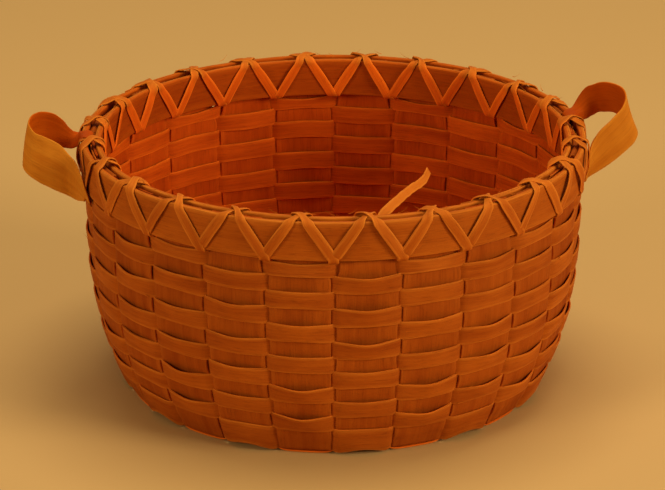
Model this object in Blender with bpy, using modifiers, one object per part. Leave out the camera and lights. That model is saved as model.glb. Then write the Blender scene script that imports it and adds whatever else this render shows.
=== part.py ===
"""Small round splint basket with two ear handles.

The basket is built as it is woven. Twelve long stakes cross at the middle of the base and turn
up as twenty-four uprights. Thin weavers go over one upright and under the next, row by row, each
a strip of its own whose shaved ends lap behind an upright. A plain rim weaver, two hoops and a
crossed lashing finish the edge, and each handle is a strip looped round the outer hoop.

Angles run from the front (-Y) towards +X. A point of the wall is given by its radius and height.
"""

import math

import bmesh
import bpy
from mathutils import Vector

# Overall sizes
RIM_RADIUS = 0.0820
RIM_HEIGHT = 0.0833
BASE_RADIUS = 0.0674
SHOULDER_INSET = 0.0023
FLARE_POWER = 3.0
SEAT_GAP = 0.0001
MERGE_DISTANCE = 0.000001

# Stakes
UPRIGHT_COUNT = 24
STAKE_THICKNESS = 0.0008
STAKE_SIDE_CLEARANCE = 0.00018
BASE_STAKE_GAP = 0.0055
WAIST_WIDTH = 0.0045
WAIST_THICKNESS = 0.0004
WAIST_RADIUS = 0.0190
RAMP_RADIUS = 0.0305
CORNER_RUN = 0.0024
CORNER_HEIGHT = 0.0014
RIM_STEP_HEIGHT = 0.0002
FOLD_TAIL_LENGTH = 0.0105

# Weavers
WALL_ROWS = 12
ROWS_PER_BEND = 2
BASE_ROWS = 6
WEAVER_THICKNESS = 0.0006
ROW_GAP = 0.00028
BASE_WOVEN_MARGIN = 0.0014
LAP_STAKES = 2

# Rim
HOOP_WIDTH = 0.0127
HOOP_THICKNESS = 0.0020
HOOP_TIP_THICKNESS = 0.0004
HOOP_LAP_STAKES = 2
RIM_WEAVER_INSET = 0.0015
LASHING_WIDTH = 0.0030
LASHING_THICKNESS = 0.0004

# Handles
HANDLE_WIDTH = 0.0152
HANDLE_THICKNESS = 0.0008
HANDLE_REACH = 0.0166
HANDLE_SPREAD = 0.0096
HANDLE_TAIL_WIDTH = 0.0076
HANDLE_TAIL_THICKNESS = 0.0004
HANDLE_TAIL_LENGTH = 0.0100
HANDLE_BACK_TAPER_STEPS = 6
HANDLE_FRONT_TAPER_STEPS = 3
HANDLE_DIP = 0.0046

# Uprights that carry a handle or a lap, counted from the one just right of the front. Each row
# starts a few uprights on from the row before it, so that the laps don't lie above each other
RIGHT_HANDLE_UPRIGHT = 6
LEFT_HANDLE_UPRIGHT = -6
OUTER_HOOP_LAP_UPRIGHT = 14
INNER_HOOP_LAP_UPRIGHT = 2
RIM_WEAVER_END_UPRIGHT = 12
WALL_LAP_UPRIGHT = 9
BASE_LAP_UPRIGHT = 3
LAP_ADVANCE = 5

# The order in which each set of stakes is laid down where they cross, by its place in the set
CROSSING_ORDER = (0, 2, 4, 1, 3, 5)

# Points along the wall's curve that its even steps are measured on, and steps round its corner
WALL_SAMPLES = 400
CORNER_STEPS = 3

# Loops of the two handles, each bent by hand and so a little unlike: outwards from the hoop in
# shares of the reach, towards the front in shares of the spread and upwards from the middle of
# the hoop in shares of its width, then the direction across the strip from its lower to its
# upper edge in the same three axes
RIGHT_LOOP_SHARES = (
    ((0.05, -0.87, 0.79), (-0.10, -0.80, 0.55)),
    ((0.20, -0.93, 0.87), (-0.19, -0.10, 0.97)),
    ((0.40, -0.80, 0.98), (-0.19, 0.19, 0.96)),
    ((0.64, -0.52, 1.04), (-0.18, 0.36, 0.91)),
    ((0.84, -0.24, 0.95), (-0.22, 0.45, 0.87)),
    ((0.97, 0.08, 0.68), (-0.34, 0.31, 0.89)),
    ((0.87, 0.35, 0.37), (-0.40, 0.12, 0.91)),
    ((0.63, 0.56, 0.14), (-0.38, 0.02, 0.92)),
    ((0.37, 0.66, -0.10), (-0.35, 0.09, 0.93)),
    ((0.20, 0.64, -0.37), (-0.20, 0.30, 0.93)),
    ((0.14, 0.54, -0.66), (-0.10, 0.75, 0.60)),
)
LEFT_LOOP_SHARES = (
    ((0.08, -0.87, 0.70), (-0.05, -0.93, 0.30)),
    ((0.23, -0.92, 0.49), (0.00, -0.70, 0.70)),
    ((0.38, -0.84, 0.62), (0.00, 0.00, 1.00)),
    ((0.60, -0.65, 0.78), (0.00, 0.18, 0.98)),
    ((0.82, -0.42, 0.84), (-0.03, 0.14, 0.98)),
    ((1.00, -0.18, 0.79), (-0.06, 0.20, 0.97)),
    ((1.06, 0.05, 0.58), (-0.10, 0.20, 0.97)),
    ((0.98, 0.30, 0.42), (-0.15, 0.06, 0.99)),
    ((0.73, 0.50, 0.22), (-0.12, 0.02, 0.99)),
    ((0.44, 0.60, 0.00), (-0.11, 0.03, 0.99)),
    ((0.23, 0.64, -0.26), (-0.10, 0.30, 0.95)),
    ((0.14, 0.54, -0.62), (-0.10, 0.75, 0.60)),
)

# Sizes that follow from those above
PITCH = 2 * math.pi / UPRIGHT_COUNT
SHOULDER_RADIUS = RIM_RADIUS - SHOULDER_INSET
HOOP_BOTTOM = RIM_HEIGHT - HOOP_WIDTH
HOOP_MIDDLE = RIM_HEIGHT - HOOP_WIDTH / 2
LASHING_STEP = LASHING_THICKNESS + SEAT_GAP
SLOT_HEIGHT = 2 * LASHING_STEP + 2 * SEAT_GAP
WALL_TOP = HOOP_BOTTOM - SLOT_HEIGHT
WEAVE_OFFSET = STAKE_THICKNESS / 2 + SEAT_GAP + WEAVER_THICKNESS / 2
BASE_PLANE = WEAVE_OFFSET + WEAVER_THICKNESS / 2

# Layers of the rim, from the outside in
OUTER_HOOP_INNER = RIM_RADIUS - HOOP_THICKNESS
OUTER_STAKE_RADIUS = OUTER_HOOP_INNER - SEAT_GAP - STAKE_THICKNESS / 2
RIM_WEAVER_RADIUS = OUTER_STAKE_RADIUS - WEAVE_OFFSET
INNER_STAKE_RADIUS = RIM_WEAVER_RADIUS - WEAVE_OFFSET
INNER_HOOP_OUTER = INNER_STAKE_RADIUS - STAKE_THICKNESS / 2 - SEAT_GAP
INNER_HOOP_INNER = INNER_HOOP_OUTER - HOOP_THICKNESS

# A lashing lies across the rim at a slant, so its width along the rim is more than its own
RIM_DEPTH = RIM_RADIUS - INNER_HOOP_INNER
LASHING_RISE = 2 * HOOP_WIDTH + RIM_DEPTH
LASHING_SLANT = math.atan2(PITCH * RIM_RADIUS, LASHING_RISE)
LASHING_HALF_ANGLE = LASHING_WIDTH / 2 / math.cos(LASHING_SLANT) / RIM_RADIUS
STAKE_HALF_ANGLE = PITCH / 2 - LASHING_HALF_ANGLE - STAKE_SIDE_CLEARANCE / INNER_STAKE_RADIUS
BASE_HALF_ANGLE = PITCH / 2 - BASE_STAKE_GAP / 2 / BASE_RADIUS
FLOAT_MARGIN_ANGLE = SEAT_GAP * 2 / RIM_RADIUS
BASE_FLOAT_MARGIN_ANGLE = SEAT_GAP * 4 / BASE_RADIUS

# Heights of the rim's hidden pieces
RIM_WEAVER_TOP = RIM_HEIGHT - RIM_WEAVER_INSET
FOLD_HEIGHT = RIM_WEAVER_TOP + SEAT_GAP + STAKE_THICKNESS / 2

SPLINT_COLOURS = {
    "stake": (0.52, 0.20, 0.045, 1.0),
    "weaver": (0.56, 0.23, 0.055, 1.0),
    "hoop": (0.50, 0.18, 0.040, 1.0),
    "lashing": (0.62, 0.27, 0.070, 1.0),
    "handle": (0.66, 0.28, 0.060, 1.0),
}


def clear_scene():
    for old in list(bpy.data.objects):
        bpy.data.objects.remove(old, do_unlink=True)


def splint_material(kind):
    """Bare ash splint. The thin strips are a little lighter than the thick ones."""
    name = kind + "_splint"
    material = bpy.data.materials.get(name)
    if material is None:
        material = bpy.data.materials.new(name)
        material.use_nodes = True
        shader = material.node_tree.nodes["Principled BSDF"]
        shader.inputs["Base Color"].default_value = SPLINT_COLOURS[kind]
        shader.inputs["Roughness"].default_value = 0.55
        shader.inputs["Metallic"].default_value = 0.0
    return material


def polar(radius, angle, height):
    return Vector((radius * math.sin(angle), -radius * math.cos(angle), height))


def upright_angle(index):
    return (index + 0.5) * PITCH


def splint(name, kind, edges, thickness, shares=None, closed=False):
    """A strip of splint: an open surface between its two edges, thickened by Solidify.

    edges is a list of pairs of points along the strip. shares, where the strip is shaved thin,
    gives each pair's part of the full thickness.
    """
    mesh = bpy.data.meshes.new(name)
    surface = bmesh.new()
    rails = [(surface.verts.new(low), surface.verts.new(high)) for low, high in edges]
    following = rails[1:] + rails[:1] if closed else rails[1:]
    for (low, high), (next_low, next_high) in zip(rails, following):
        surface.faces.new((low, next_low, next_high, high))
    surface.to_mesh(mesh)
    surface.free()
    mesh.materials.append(splint_material(kind))
    strip = bpy.data.objects.new(name, mesh)
    basket.objects.link(strip)

    solid = strip.modifiers.new("thickness", "SOLIDIFY")
    solid.thickness = thickness
    solid.offset = 0.0
    solid.solidify_mode = "NON_MANIFOLD"
    solid.nonmanifold_thickness_mode = "CONSTRAINTS"
    solid.nonmanifold_merge_threshold = MERGE_DISTANCE
    if shares is not None:
        group = strip.vertex_groups.new(name="shaved")
        for rail, share in enumerate(shares):
            group.add((2 * rail, 2 * rail + 1), share, "REPLACE")
        solid.vertex_group = group.name
    return strip


def wall_radius(height):
    """The wall flares quickly from the base and stands almost upright at the shoulder."""
    left = 1 - height / WALL_TOP
    return BASE_RADIUS + (SHOULDER_RADIUS - BASE_RADIUS) * (1 - left ** FLARE_POWER)


def wall_points(steps):
    """Evenly spaced points down the middle of the wall, from the shoulder to the corner."""
    foot = BASE_PLANE + CORNER_HEIGHT
    heights = [WALL_TOP + (foot - WALL_TOP) * i / WALL_SAMPLES for i in range(WALL_SAMPLES + 1)]
    line = [(wall_radius(height), height) for height in heights]
    lengths = [0.0]
    for before, after in zip(line, line[1:]):
        lengths.append(lengths[-1] + math.dist(before, after))
    points = []
    place = 0
    for step in range(steps + 1):
        wanted = lengths[-1] * step / steps
        while place < WALL_SAMPLES - 1 and lengths[place + 1] < wanted:
            place += 1
        share = (wanted - lengths[place]) / (lengths[place + 1] - lengths[place])
        points.append(tuple(a + (b - a) * share for a, b in zip(line[place], line[place + 1])))
    return points


WALL_LINE = wall_points(WALL_ROWS // ROWS_PER_BEND)


def corner_points():
    """The stake's bend from the foot of the wall to the flat base, as a quadratic curve."""
    foot = WALL_LINE[-1]
    above = WALL_LINE[-2]
    slope = (above[0] - foot[0]) / (above[1] - foot[1])
    elbow = (foot[0] - slope * CORNER_HEIGHT, BASE_PLANE)
    inner = (elbow[0] - CORNER_RUN, BASE_PLANE)
    points = []
    for step in range(1, CORNER_STEPS + 1):
        t = step / CORNER_STEPS
        points.append(tuple((1 - t) ** 2 * a + 2 * t * (1 - t) * b + t ** 2 * c
                            for a, b, c in zip(foot, elbow, inner)))
    return points


CORNER_LINE = corner_points()
BASE_EDGE = CORNER_LINE[-1][0]


def stake_half(folded, level):
    """One half of a stake, from its end at the rim to its middle. Each place has its radius, its
    height, its half width along the chord and its share of the full thickness.
    """
    rim_radius = OUTER_STAKE_RADIUS if folded else INNER_STAKE_RADIUS
    line = []
    if folded:
        line.append((INNER_STAKE_RADIUS, FOLD_HEIGHT - FOLD_TAIL_LENGTH))
        line.append((INNER_STAKE_RADIUS, FOLD_HEIGHT))
    line.append((rim_radius, FOLD_HEIGHT))
    line.append((rim_radius, HOOP_BOTTOM + RIM_STEP_HEIGHT))
    line += WALL_LINE
    half = [(radius, height, radius * math.sin(STAKE_HALF_ANGLE), 1.0)
            for radius, height in line]
    for step, (radius, height) in enumerate(CORNER_LINE, 1):
        blend = step / len(CORNER_LINE)
        angle = STAKE_HALF_ANGLE + (BASE_HALF_ANGLE - STAKE_HALF_ANGLE) * blend
        half.append((radius, height, radius * math.sin(angle), 1.0))
    half.append((RAMP_RADIUS, BASE_PLANE, RAMP_RADIUS * math.sin(BASE_HALF_ANGLE), 1.0))
    lift = level * (WAIST_THICKNESS + SEAT_GAP)
    half.append((WAIST_RADIUS, BASE_PLANE + lift, WAIST_WIDTH / 2,
                 WAIST_THICKNESS / STAKE_THICKNESS))
    return half


def build_stake(number, upright, folded, level):
    """A stake runs from rim to rim through the middle of the base, narrow where they cross."""
    along = polar(1, upright_angle(upright), 0)
    across = Vector((-along.y, along.x, 0))
    half = stake_half(folded, level)
    edges = []
    shares = []
    for side, rows in ((1, half), (-1, half[::-1])):
        for radius, height, half_width, share in rows:
            distance = math.sqrt(radius ** 2 - half_width ** 2)
            centre = along * (side * distance) + Vector((0, 0, height))
            edges.append((centre - across * half_width, centre + across * half_width))
            shares.append(share)
    splint("stake_%02d" % number, "stake", edges, STAKE_THICKNESS, shares)


def build_stakes():
    """Two sets of six: those folded over the rim go down first, the trimmed ones on top."""
    half_count = UPRIGHT_COUNT // 2
    set_size = half_count // 2
    for upright in range(half_count):
        folded = upright % 2 == 1
        level = CROSSING_ORDER[upright // 2] + (0 if folded else set_size)
        build_stake(upright + 1, upright, folded, level)


def woven_row(name, middle, tangent, width, first, half_angle, bowed):
    """One weaver: outside the first upright, inside the next, once round and on over its start.

    middle is the radius and height of the stakes' own middle under the row, and tangent is the
    unit direction across the row in the same plane, pointing to its upper or outer edge. Where
    the ends lap, each is shaved to half, so that the lap is no thicker than the row.
    """
    normal = (tangent[1], -tangent[0])
    shaved = (WEAVER_THICKNESS - SEAT_GAP) / 2
    lap_offset = (shaved + SEAT_GAP) / 2
    edges = []
    shares = []
    for step in range(UPRIGHT_COUNT + LAP_STAKES):
        outside = step % 2 == 0
        layer = -1 if step < LAP_STAKES else 1 if step >= UPRIGHT_COUNT else 0
        offset = (WEAVE_OFFSET if outside else -WEAVE_OFFSET) + layer * lap_offset
        radius = middle[0] + normal[0] * offset
        height = middle[1] + normal[1] * offset
        angle = upright_angle(first + step)
        turns = (-half_angle, 0.0, half_angle) if outside and bowed else (-half_angle, half_angle)
        for turn in turns:
            ends = [polar(radius + tangent[0] * reach, angle + turn, height + tangent[1] * reach)
                    for reach in (-width / 2, width / 2)]
            edges.append(ends)
            shares.append(shaved / WEAVER_THICKNESS if layer else 1.0)
    splint(name, "weaver", edges, WEAVER_THICKNESS, shares)


def build_wall_weavers():
    """Rows are numbered from the top. Two rows lie on each straight stretch of the stakes.

    The top row goes outside the folded uprights, which are the odd ones, and the next row outside
    the others.
    """
    half_angle = STAKE_HALF_ANGLE + FLOAT_MARGIN_ANGLE
    for row in range(WALL_ROWS):
        bend = row // ROWS_PER_BEND
        upper, lower = WALL_LINE[bend], WALL_LINE[bend + 1]
        length = math.dist(upper, lower)
        share = (row % ROWS_PER_BEND + 0.5) / ROWS_PER_BEND
        middle = tuple(a + (b - a) * share for a, b in zip(upper, lower))
        tangent = tuple((a - b) / length for a, b in zip(upper, lower))
        woven_row("wall_weaver_%02d" % (row + 1), middle, tangent, length / ROWS_PER_BEND - ROW_GAP,
                  WALL_LAP_UPRIGHT + LAP_ADVANCE * row, half_angle, True)


def build_base_weavers():
    """Rows are numbered from the edge of the base inwards."""
    outer = BASE_EDGE - BASE_WOVEN_MARGIN
    pitch = (outer - RAMP_RADIUS - BASE_WOVEN_MARGIN) / BASE_ROWS
    half_angle = BASE_HALF_ANGLE + BASE_FLOAT_MARGIN_ANGLE
    for row in range(BASE_ROWS):
        middle = (outer - (row + 0.5) * pitch, BASE_PLANE)
        first = BASE_LAP_UPRIGHT + LAP_ADVANCE * row
        woven_row("base_weaver_%02d" % (row + 1), middle, (1.0, 0.0), pitch - ROW_GAP,
                  first, half_angle, False)


def ring_angles(first, uprights, with_middles):
    """The angles at which a ring bends: at both edges of each upright, and at its middle."""
    turns = (-STAKE_HALF_ANGLE, 0.0, STAKE_HALF_ANGLE)
    if not with_middles:
        turns = (-STAKE_HALF_ANGLE, STAKE_HALF_ANGLE)
    return [upright_angle(first + step) + turn for step in range(uprights) for turn in turns]


def build_rim_weaver():
    """A plain strip between the two layers of stake ends. Its ends meet behind an upright."""
    bottom = HOOP_BOTTOM + STAKE_THICKNESS
    angles = ring_angles(RIM_WEAVER_END_UPRIGHT, UPRIGHT_COUNT, False)
    gap_angle = SEAT_GAP / RIM_WEAVER_RADIUS
    angles = angles[1:] + [angles[0] + 2 * math.pi, angles[1] + 2 * math.pi - gap_angle]
    edges = [(polar(RIM_WEAVER_RADIUS, angle, bottom),
              polar(RIM_WEAVER_RADIUS, angle, RIM_WEAVER_TOP)) for angle in angles]
    splint("rim_weaver", "weaver", edges, WEAVER_THICKNESS)


def build_hoop(name, inner_radius, first, with_middles):
    """A hoop with a long scarf: its two tapered ends lie on each other over a few uprights."""
    angles = ring_angles(first, UPRIGHT_COUNT + HOOP_LAP_STAKES, with_middles)
    per_upright = 3 if with_middles else 2
    lap = HOOP_LAP_STAKES * per_upright
    full = HOOP_THICKNESS
    edges = []
    shares = []
    for step, angle in enumerate(angles):
        start_lap = step < lap
        end_lap = step >= len(angles) - lap
        place = step if start_lap else step - (len(angles) - lap)
        rise = place / (lap - 1)
        wedge = HOOP_TIP_THICKNESS + (full - SEAT_GAP - 2 * HOOP_TIP_THICKNESS) * rise
        if start_lap:
            depth, middle = wedge, inner_radius + wedge / 2
        elif end_lap:
            depth = full - SEAT_GAP - wedge
            middle = inner_radius + full - depth / 2
        else:
            depth, middle = full, inner_radius + full / 2
        edges.append((polar(middle, angle, HOOP_BOTTOM), polar(middle, angle, RIM_HEIGHT)))
        shares.append(depth / full)
    splint(name, "hoop", edges, full, shares)


def build_lashing(name, layer, direction):
    """One pass of the crossed lashing: through the wall below the hoops, up the outside at a
    slant, over the top and down the inside, one upright further on each time.
    """
    seat = SEAT_GAP + LASHING_THICKNESS / 2 + layer * LASHING_STEP
    outer = RIM_RADIUS + seat
    inner = INNER_HOOP_INNER * math.cos(STAKE_HALF_ANGLE) - seat
    bottom = HOOP_BOTTOM - seat
    top = RIM_HEIGHT + seat
    rise = top - bottom
    whole = 2 * rise + outer - inner
    edges = []
    for wrap in range(UPRIGHT_COUNT):
        hole = wrap * PITCH * direction
        for radius, height, share in (
            (outer, bottom, 0.0),
            (outer, bottom + rise / 2, rise / 2 / whole),
            (outer, top, rise / whole),
            (inner, top, (rise + outer - inner) / whole),
            (inner, bottom, 1.0),
        ):
            angle = hole + share * PITCH * direction
            ends = [polar(radius, angle + turn * direction, height)
                    for turn in (-LASHING_HALF_ANGLE, LASHING_HALF_ANGLE)]
            edges.append(ends)
    splint(name, "lashing", edges, LASHING_THICKNESS, closed=True)


def build_handle(name, upright, forward, loop_shares):
    """An ear: the strip comes up behind the outer hoop, swings out over the lashing, round and
    down to the front, and turns back under the hoop beside the next hole. forward is +1 where
    the front of the basket lies towards smaller angles.
    """
    middle_angle = upright_angle(upright)
    outwards = polar(1, middle_angle, 0)
    to_front = polar(1, middle_angle - forward * math.pi / 2, 0)
    up = Vector((0, 0, 1))
    thin = HANDLE_TAIL_THICKNESS / HANDLE_THICKNESS
    seat = SEAT_GAP + HANDLE_TAIL_THICKNESS / 2
    tail_radius = OUTER_HOOP_INNER * math.cos(STAKE_HALF_ANGLE / 2) - seat
    tail_half = HANDLE_TAIL_WIDTH / 2 / tail_radius
    clear_angle = LASHING_HALF_ANGLE + 2 * SEAT_GAP / tail_radius
    back_angle = middle_angle + forward * (2 * clear_angle + tail_half)
    front_angle = middle_angle - forward * (PITCH / 2 - clear_angle - tail_half)

    def tail_edge(radius, angle, turn, height):
        return (polar(radius, angle - turn * tail_half, height),
                polar(radius, angle + turn * tail_half, height))

    edges = []
    shares = []
    rise = 2 * LASHING_STEP + 2 * SEAT_GAP
    for height in (RIM_HEIGHT - HANDLE_TAIL_LENGTH, RIM_HEIGHT + rise):
        edges.append(tail_edge(tail_radius, back_angle, forward, height))
        shares.append(thin)
    count = len(loop_shares)
    for step, (place, across) in enumerate(loop_shares):
        centre = outwards * (RIM_RADIUS + place[0] * HANDLE_REACH)
        centre += to_front * (place[1] * HANDLE_SPREAD)
        centre += up * (HOOP_MIDDLE + place[2] * HOOP_WIDTH)
        lean = (outwards * across[0] + to_front * across[1] + up * across[2]).normalized()
        grown = min(1.0, (step + 1) / HANDLE_BACK_TAPER_STEPS, (count - step) / HANDLE_FRONT_TAPER_STEPS)
        half = (HANDLE_TAIL_WIDTH + (HANDLE_WIDTH - HANDLE_TAIL_WIDTH) * grown) / 2
        edges.append((centre - lean * half, centre + lean * half))
        shares.append(thin + (1 - thin) * grown)
    wall_seat = SHOULDER_RADIUS + STAKE_THICKNESS / 2 + 2 * seat
    for radius, height in (
        (RIM_RADIUS - seat, HOOP_BOTTOM - HANDLE_DIP),
        (wall_seat, HOOP_BOTTOM - HANDLE_DIP + 2 * seat),
        (wall_seat, WALL_TOP),
        (tail_radius, HOOP_BOTTOM),
        (tail_radius, HOOP_BOTTOM + HANDLE_TAIL_LENGTH),
    ):
        edges.append(tail_edge(radius, front_angle, -forward, height))
        shares.append(thin)
    splint(name, "handle", edges, HANDLE_THICKNESS, shares)


clear_scene()
basket = bpy.data.collections.new("handled_basket")
bpy.context.scene.collection.children.link(basket)

build_stakes()
build_base_weavers()
build_wall_weavers()
build_rim_weaver()
build_hoop("outer_hoop", OUTER_HOOP_INNER, OUTER_HOOP_LAP_UPRIGHT, True)
build_hoop("inner_hoop", INNER_HOOP_INNER, INNER_HOOP_LAP_UPRIGHT, False)
build_lashing("lashing_first_pass", 0, 1)
build_lashing("lashing_return_pass", 1, -1)
build_handle("right_handle", RIGHT_HANDLE_UPRIGHT, 1, RIGHT_LOOP_SHARES)
build_handle("left_handle", LEFT_HANDLE_UPRIGHT, -1, LEFT_LOOP_SHARES)
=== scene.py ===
import math

import bpy
import numpy as np
from bpy.props import FloatProperty, FloatVectorProperty, IntProperty, PointerProperty
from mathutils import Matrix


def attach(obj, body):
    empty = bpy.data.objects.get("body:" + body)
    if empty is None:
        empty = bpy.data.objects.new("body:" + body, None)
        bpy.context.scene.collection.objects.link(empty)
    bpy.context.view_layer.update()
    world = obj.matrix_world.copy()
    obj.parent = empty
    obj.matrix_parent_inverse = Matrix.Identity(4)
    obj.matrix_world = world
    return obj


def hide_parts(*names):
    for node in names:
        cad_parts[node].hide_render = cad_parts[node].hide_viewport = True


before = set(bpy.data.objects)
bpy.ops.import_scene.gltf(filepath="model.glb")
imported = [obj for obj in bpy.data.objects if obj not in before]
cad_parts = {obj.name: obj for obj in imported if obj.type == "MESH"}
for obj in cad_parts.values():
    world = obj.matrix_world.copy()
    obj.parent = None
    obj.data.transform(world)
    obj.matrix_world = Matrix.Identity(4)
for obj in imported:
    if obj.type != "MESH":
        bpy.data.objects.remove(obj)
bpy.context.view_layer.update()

bl_info = {
    "name": "Handled splint basket",
    "version": (1, 0, 0),
    "blender": (4, 5, 0),
    "location": "3D View > Sidebar > Basket",
    "description": "Weaves a small round splint basket with two ear handles, strip by strip",
    "category": "Object",
}

# Angles run from the front (-Y) towards +X, and are counted in uprights: a whole number is the
# gap between two uprights, and a half is the middle of one
MM = 0.001
BODY = "root"
GRAIN_MAP = "grain"

# Uprights that carry a handle or a lap, as in the frame
RIGHT_HANDLE_UPRIGHT = 6
LEFT_HANDLE_UPRIGHT = -6
OUTER_HOOP_LAP_UPRIGHT = 14
INNER_HOOP_LAP_UPRIGHT = 2
RIM_WEAVER_END_UPRIGHT = 12
WALL_LAP_UPRIGHT = 9
BASE_LAP_UPRIGHT = 3
LAP_ADVANCE = 5
LAP_UPRIGHTS = 2
CROSSING_ORDER = (0, 2, 4, 1, 3, 5)

# Where a handle's front limb lies close over the lashing, in uprights from the front, and again a
# turn of 24 on and a turn back, because one pass counts its places backwards
HANDLE_FRONTS = (6.2, 30.2, -17.8, 18.8, -5.2, -29.2)

# Small sizes of the stakes, the base and the rows
CORNER_HEIGHT = 1.4 * MM
RAMP_RADIUS = 30.5 * MM
BASE_WOVEN_MARGIN = 1.4 * MM
FOLD_TAIL_LENGTH = 10.5 * MM
FIRST_ROW_DROP = 2.7 * MM
STAKE_HALF_WIDTH = 9.3 * MM
WAIST_HALF_THICKNESS = 0.19 * MM
WALL_STAKE_HALF_ANGLE = math.radians(6.95)
RIM_STAKE_HALF_ANGLE = math.radians(6.15)
BASE_STAKE_HALF_ANGLE = math.radians(5.16)

# A strip is drawn a little thinner than its stock, and a lap is shaved on top of that
DRAWN_SHARE = 0.94
LAP_SHAVE_SHARE = 0.55
LAP_OFFSET_SHARE = 0.27
STEPS_PER_UPRIGHT = 18
LOOSE_FIBRES = 90

# The handles' tails, then what differs between the right handle (1) and the left one (-1): how
# far below the hoop each turns under it, and how much farther to the front than beside the hole
HANDLE_TAIL_WIDTH = 7.6 * MM
HANDLE_TAIL_THICKNESS = 0.4 * MM
HANDLE_TAIL_LENGTH = 10 * MM
HANDLE_DIPS = {1: 3.6 * MM, -1: 2.6 * MM}
HANDLE_RUN_ONS = {1: 0.0, -1: math.radians(4.4)}

# How much higher than its even place each row of the wall lies, in millimetres
ROW_RISES = (0.0, -0.4, 0.4, -0.3, 0.0, -0.6, 0.0, 0.0, -0.4, 0.2, -0.3, 0.0)

# Loops of the two handles: outwards from the hoop in shares of the reach, towards the front in
# shares of the spread and upwards from the middle of the hoop in shares of its width, then the
# direction across the strip from its lower to its upper edge in the same three axes, then its
# share of the full width
RIGHT_LOOP_SHARES = (
    ((-0.03, -0.85, 0.58), (-0.05, -0.99, 0.08), 0.53),
    ((0.05, -0.87, 0.61), (-0.12, -0.90, 0.42), 0.55),
    ((0.13, -0.90, 0.69), (-0.19, -0.60, 0.78), 0.56),
    ((0.22, -0.91, 0.80), (-0.24, -0.18, 0.95), 0.61),
    ((0.34, -0.88, 0.89), (-0.26, 0.30, 0.92), 0.77),
    ((0.49, -0.75, 0.96), (-0.25, 0.42, 0.87), 0.92),
    ((0.63, -0.55, 1.00), (-0.23, 0.47, 0.85), 0.99),
    ((0.78, -0.32, 0.95), (-0.23, 0.40, 0.89), 1.00),
    ((0.92, -0.08, 0.85), (-0.28, 0.30, 0.91), 1.00),
    ((0.97, 0.14, 0.68), (-0.33, 0.24, 0.91), 1.00),
    ((0.89, 0.34, 0.48), (-0.35, 0.28, 0.89), 1.00),
    ((0.75, 0.48, 0.33), (-0.37, 0.33, 0.87), 1.00),
    ((0.60, 0.58, 0.18), (-0.38, 0.34, 0.86), 0.99),
    ((0.44, 0.64, 0.02), (-0.37, 0.35, 0.86), 0.97),
    ((0.31, 0.67, -0.14), (-0.35, 0.38, 0.85), 0.93),
    ((0.17, 0.71, -0.32), (-0.24, 0.47, 0.84), 0.89),
    ((0.07, 0.73, -0.52), (-0.10, 0.60, 0.79), 0.84),
    ((0.03, 0.68, -0.76), (-0.04, 0.78, 0.62), 0.72),
)
LEFT_LOOP_SHARES = (
    ((-0.04, -0.83, 0.53), (0.00, -1.00, 0.00), 0.44),
    ((0.05, -0.83, 0.42), (-0.08, -0.90, 0.42), 0.42),
    ((0.13, -0.86, 0.40), (-0.20, -0.55, 0.81), 0.38),
    ((0.25, -0.90, 0.46), (-0.26, -0.12, 0.96), 0.45),
    ((0.40, -0.86, 0.59), (-0.26, 0.22, 0.93), 0.70),
    ((0.56, -0.75, 0.68), (-0.24, 0.26, 0.93), 0.89),
    ((0.73, -0.58, 0.74), (-0.20, 0.20, 0.96), 0.98),
    ((0.90, -0.36, 0.76), (-0.19, 0.10, 0.98), 1.00),
    ((1.04, -0.08, 0.71), (-0.16, 0.04, 0.99), 1.00),
    ((1.08, 0.14, 0.58), (-0.14, 0.03, 0.99), 1.00),
    ((1.00, 0.32, 0.42), (-0.14, 0.04, 0.99), 1.00),
    ((0.80, 0.47, 0.27), (-0.12, 0.02, 0.99), 1.04),
    ((0.59, 0.57, 0.14), (-0.10, 0.02, 0.99), 1.05),
    ((0.42, 0.63, 0.01), (-0.06, 0.03, 1.00), 1.03),
    ((0.27, 0.66, -0.15), (0.02, 0.10, 0.99), 1.00),
    ((0.15, 0.76, -0.28), (0.03, 0.13, 0.99), 0.90),
    ((0.07, 1.00, -0.39), (0.02, 0.18, 0.98), 0.66),
    ((0.01, 1.38, -0.48), (0.00, 0.50, 0.86), 0.44),
)
# Middle of the loose end of the lashing that lies inside the near rim, in millimetres, then the
# direction across it
LOOSE_END = (
    ((12.6, -75.6, 69.0), (0.95, 0.30, -0.05)),
    ((13.2, -73.8, 72.3), (0.95, 0.28, -0.10)),
    ((13.9, -70.0, 75.5), (0.95, 0.25, -0.20)),
    ((15.2, -62.0, 78.0), (0.90, -0.20, -0.38)),
    ((19.5, -52.0, 79.0), (0.80, -0.40, -0.45)),
    ((24.0, -42.0, 79.3), (0.70, -0.40, -0.60)),
    ((28.5, -32.0, 78.8), (0.60, -0.30, -0.75)),
    ((30.5, -22.0, 78.6), (0.50, -0.10, -0.86)),
)


def length(name, description, millimetres):
    """A size that the user can change, kept in metres."""
    return FloatProperty(name=name, description=description, default=millimetres * MM,
                         min=0.0, precision=5, unit="LENGTH")


def colour(name, description, value):
    """A colour that the user can change, in linear light."""
    return FloatVectorProperty(name=name, description=description, default=value,
                               min=0.0, max=1.0, subtype="COLOR")


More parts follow.
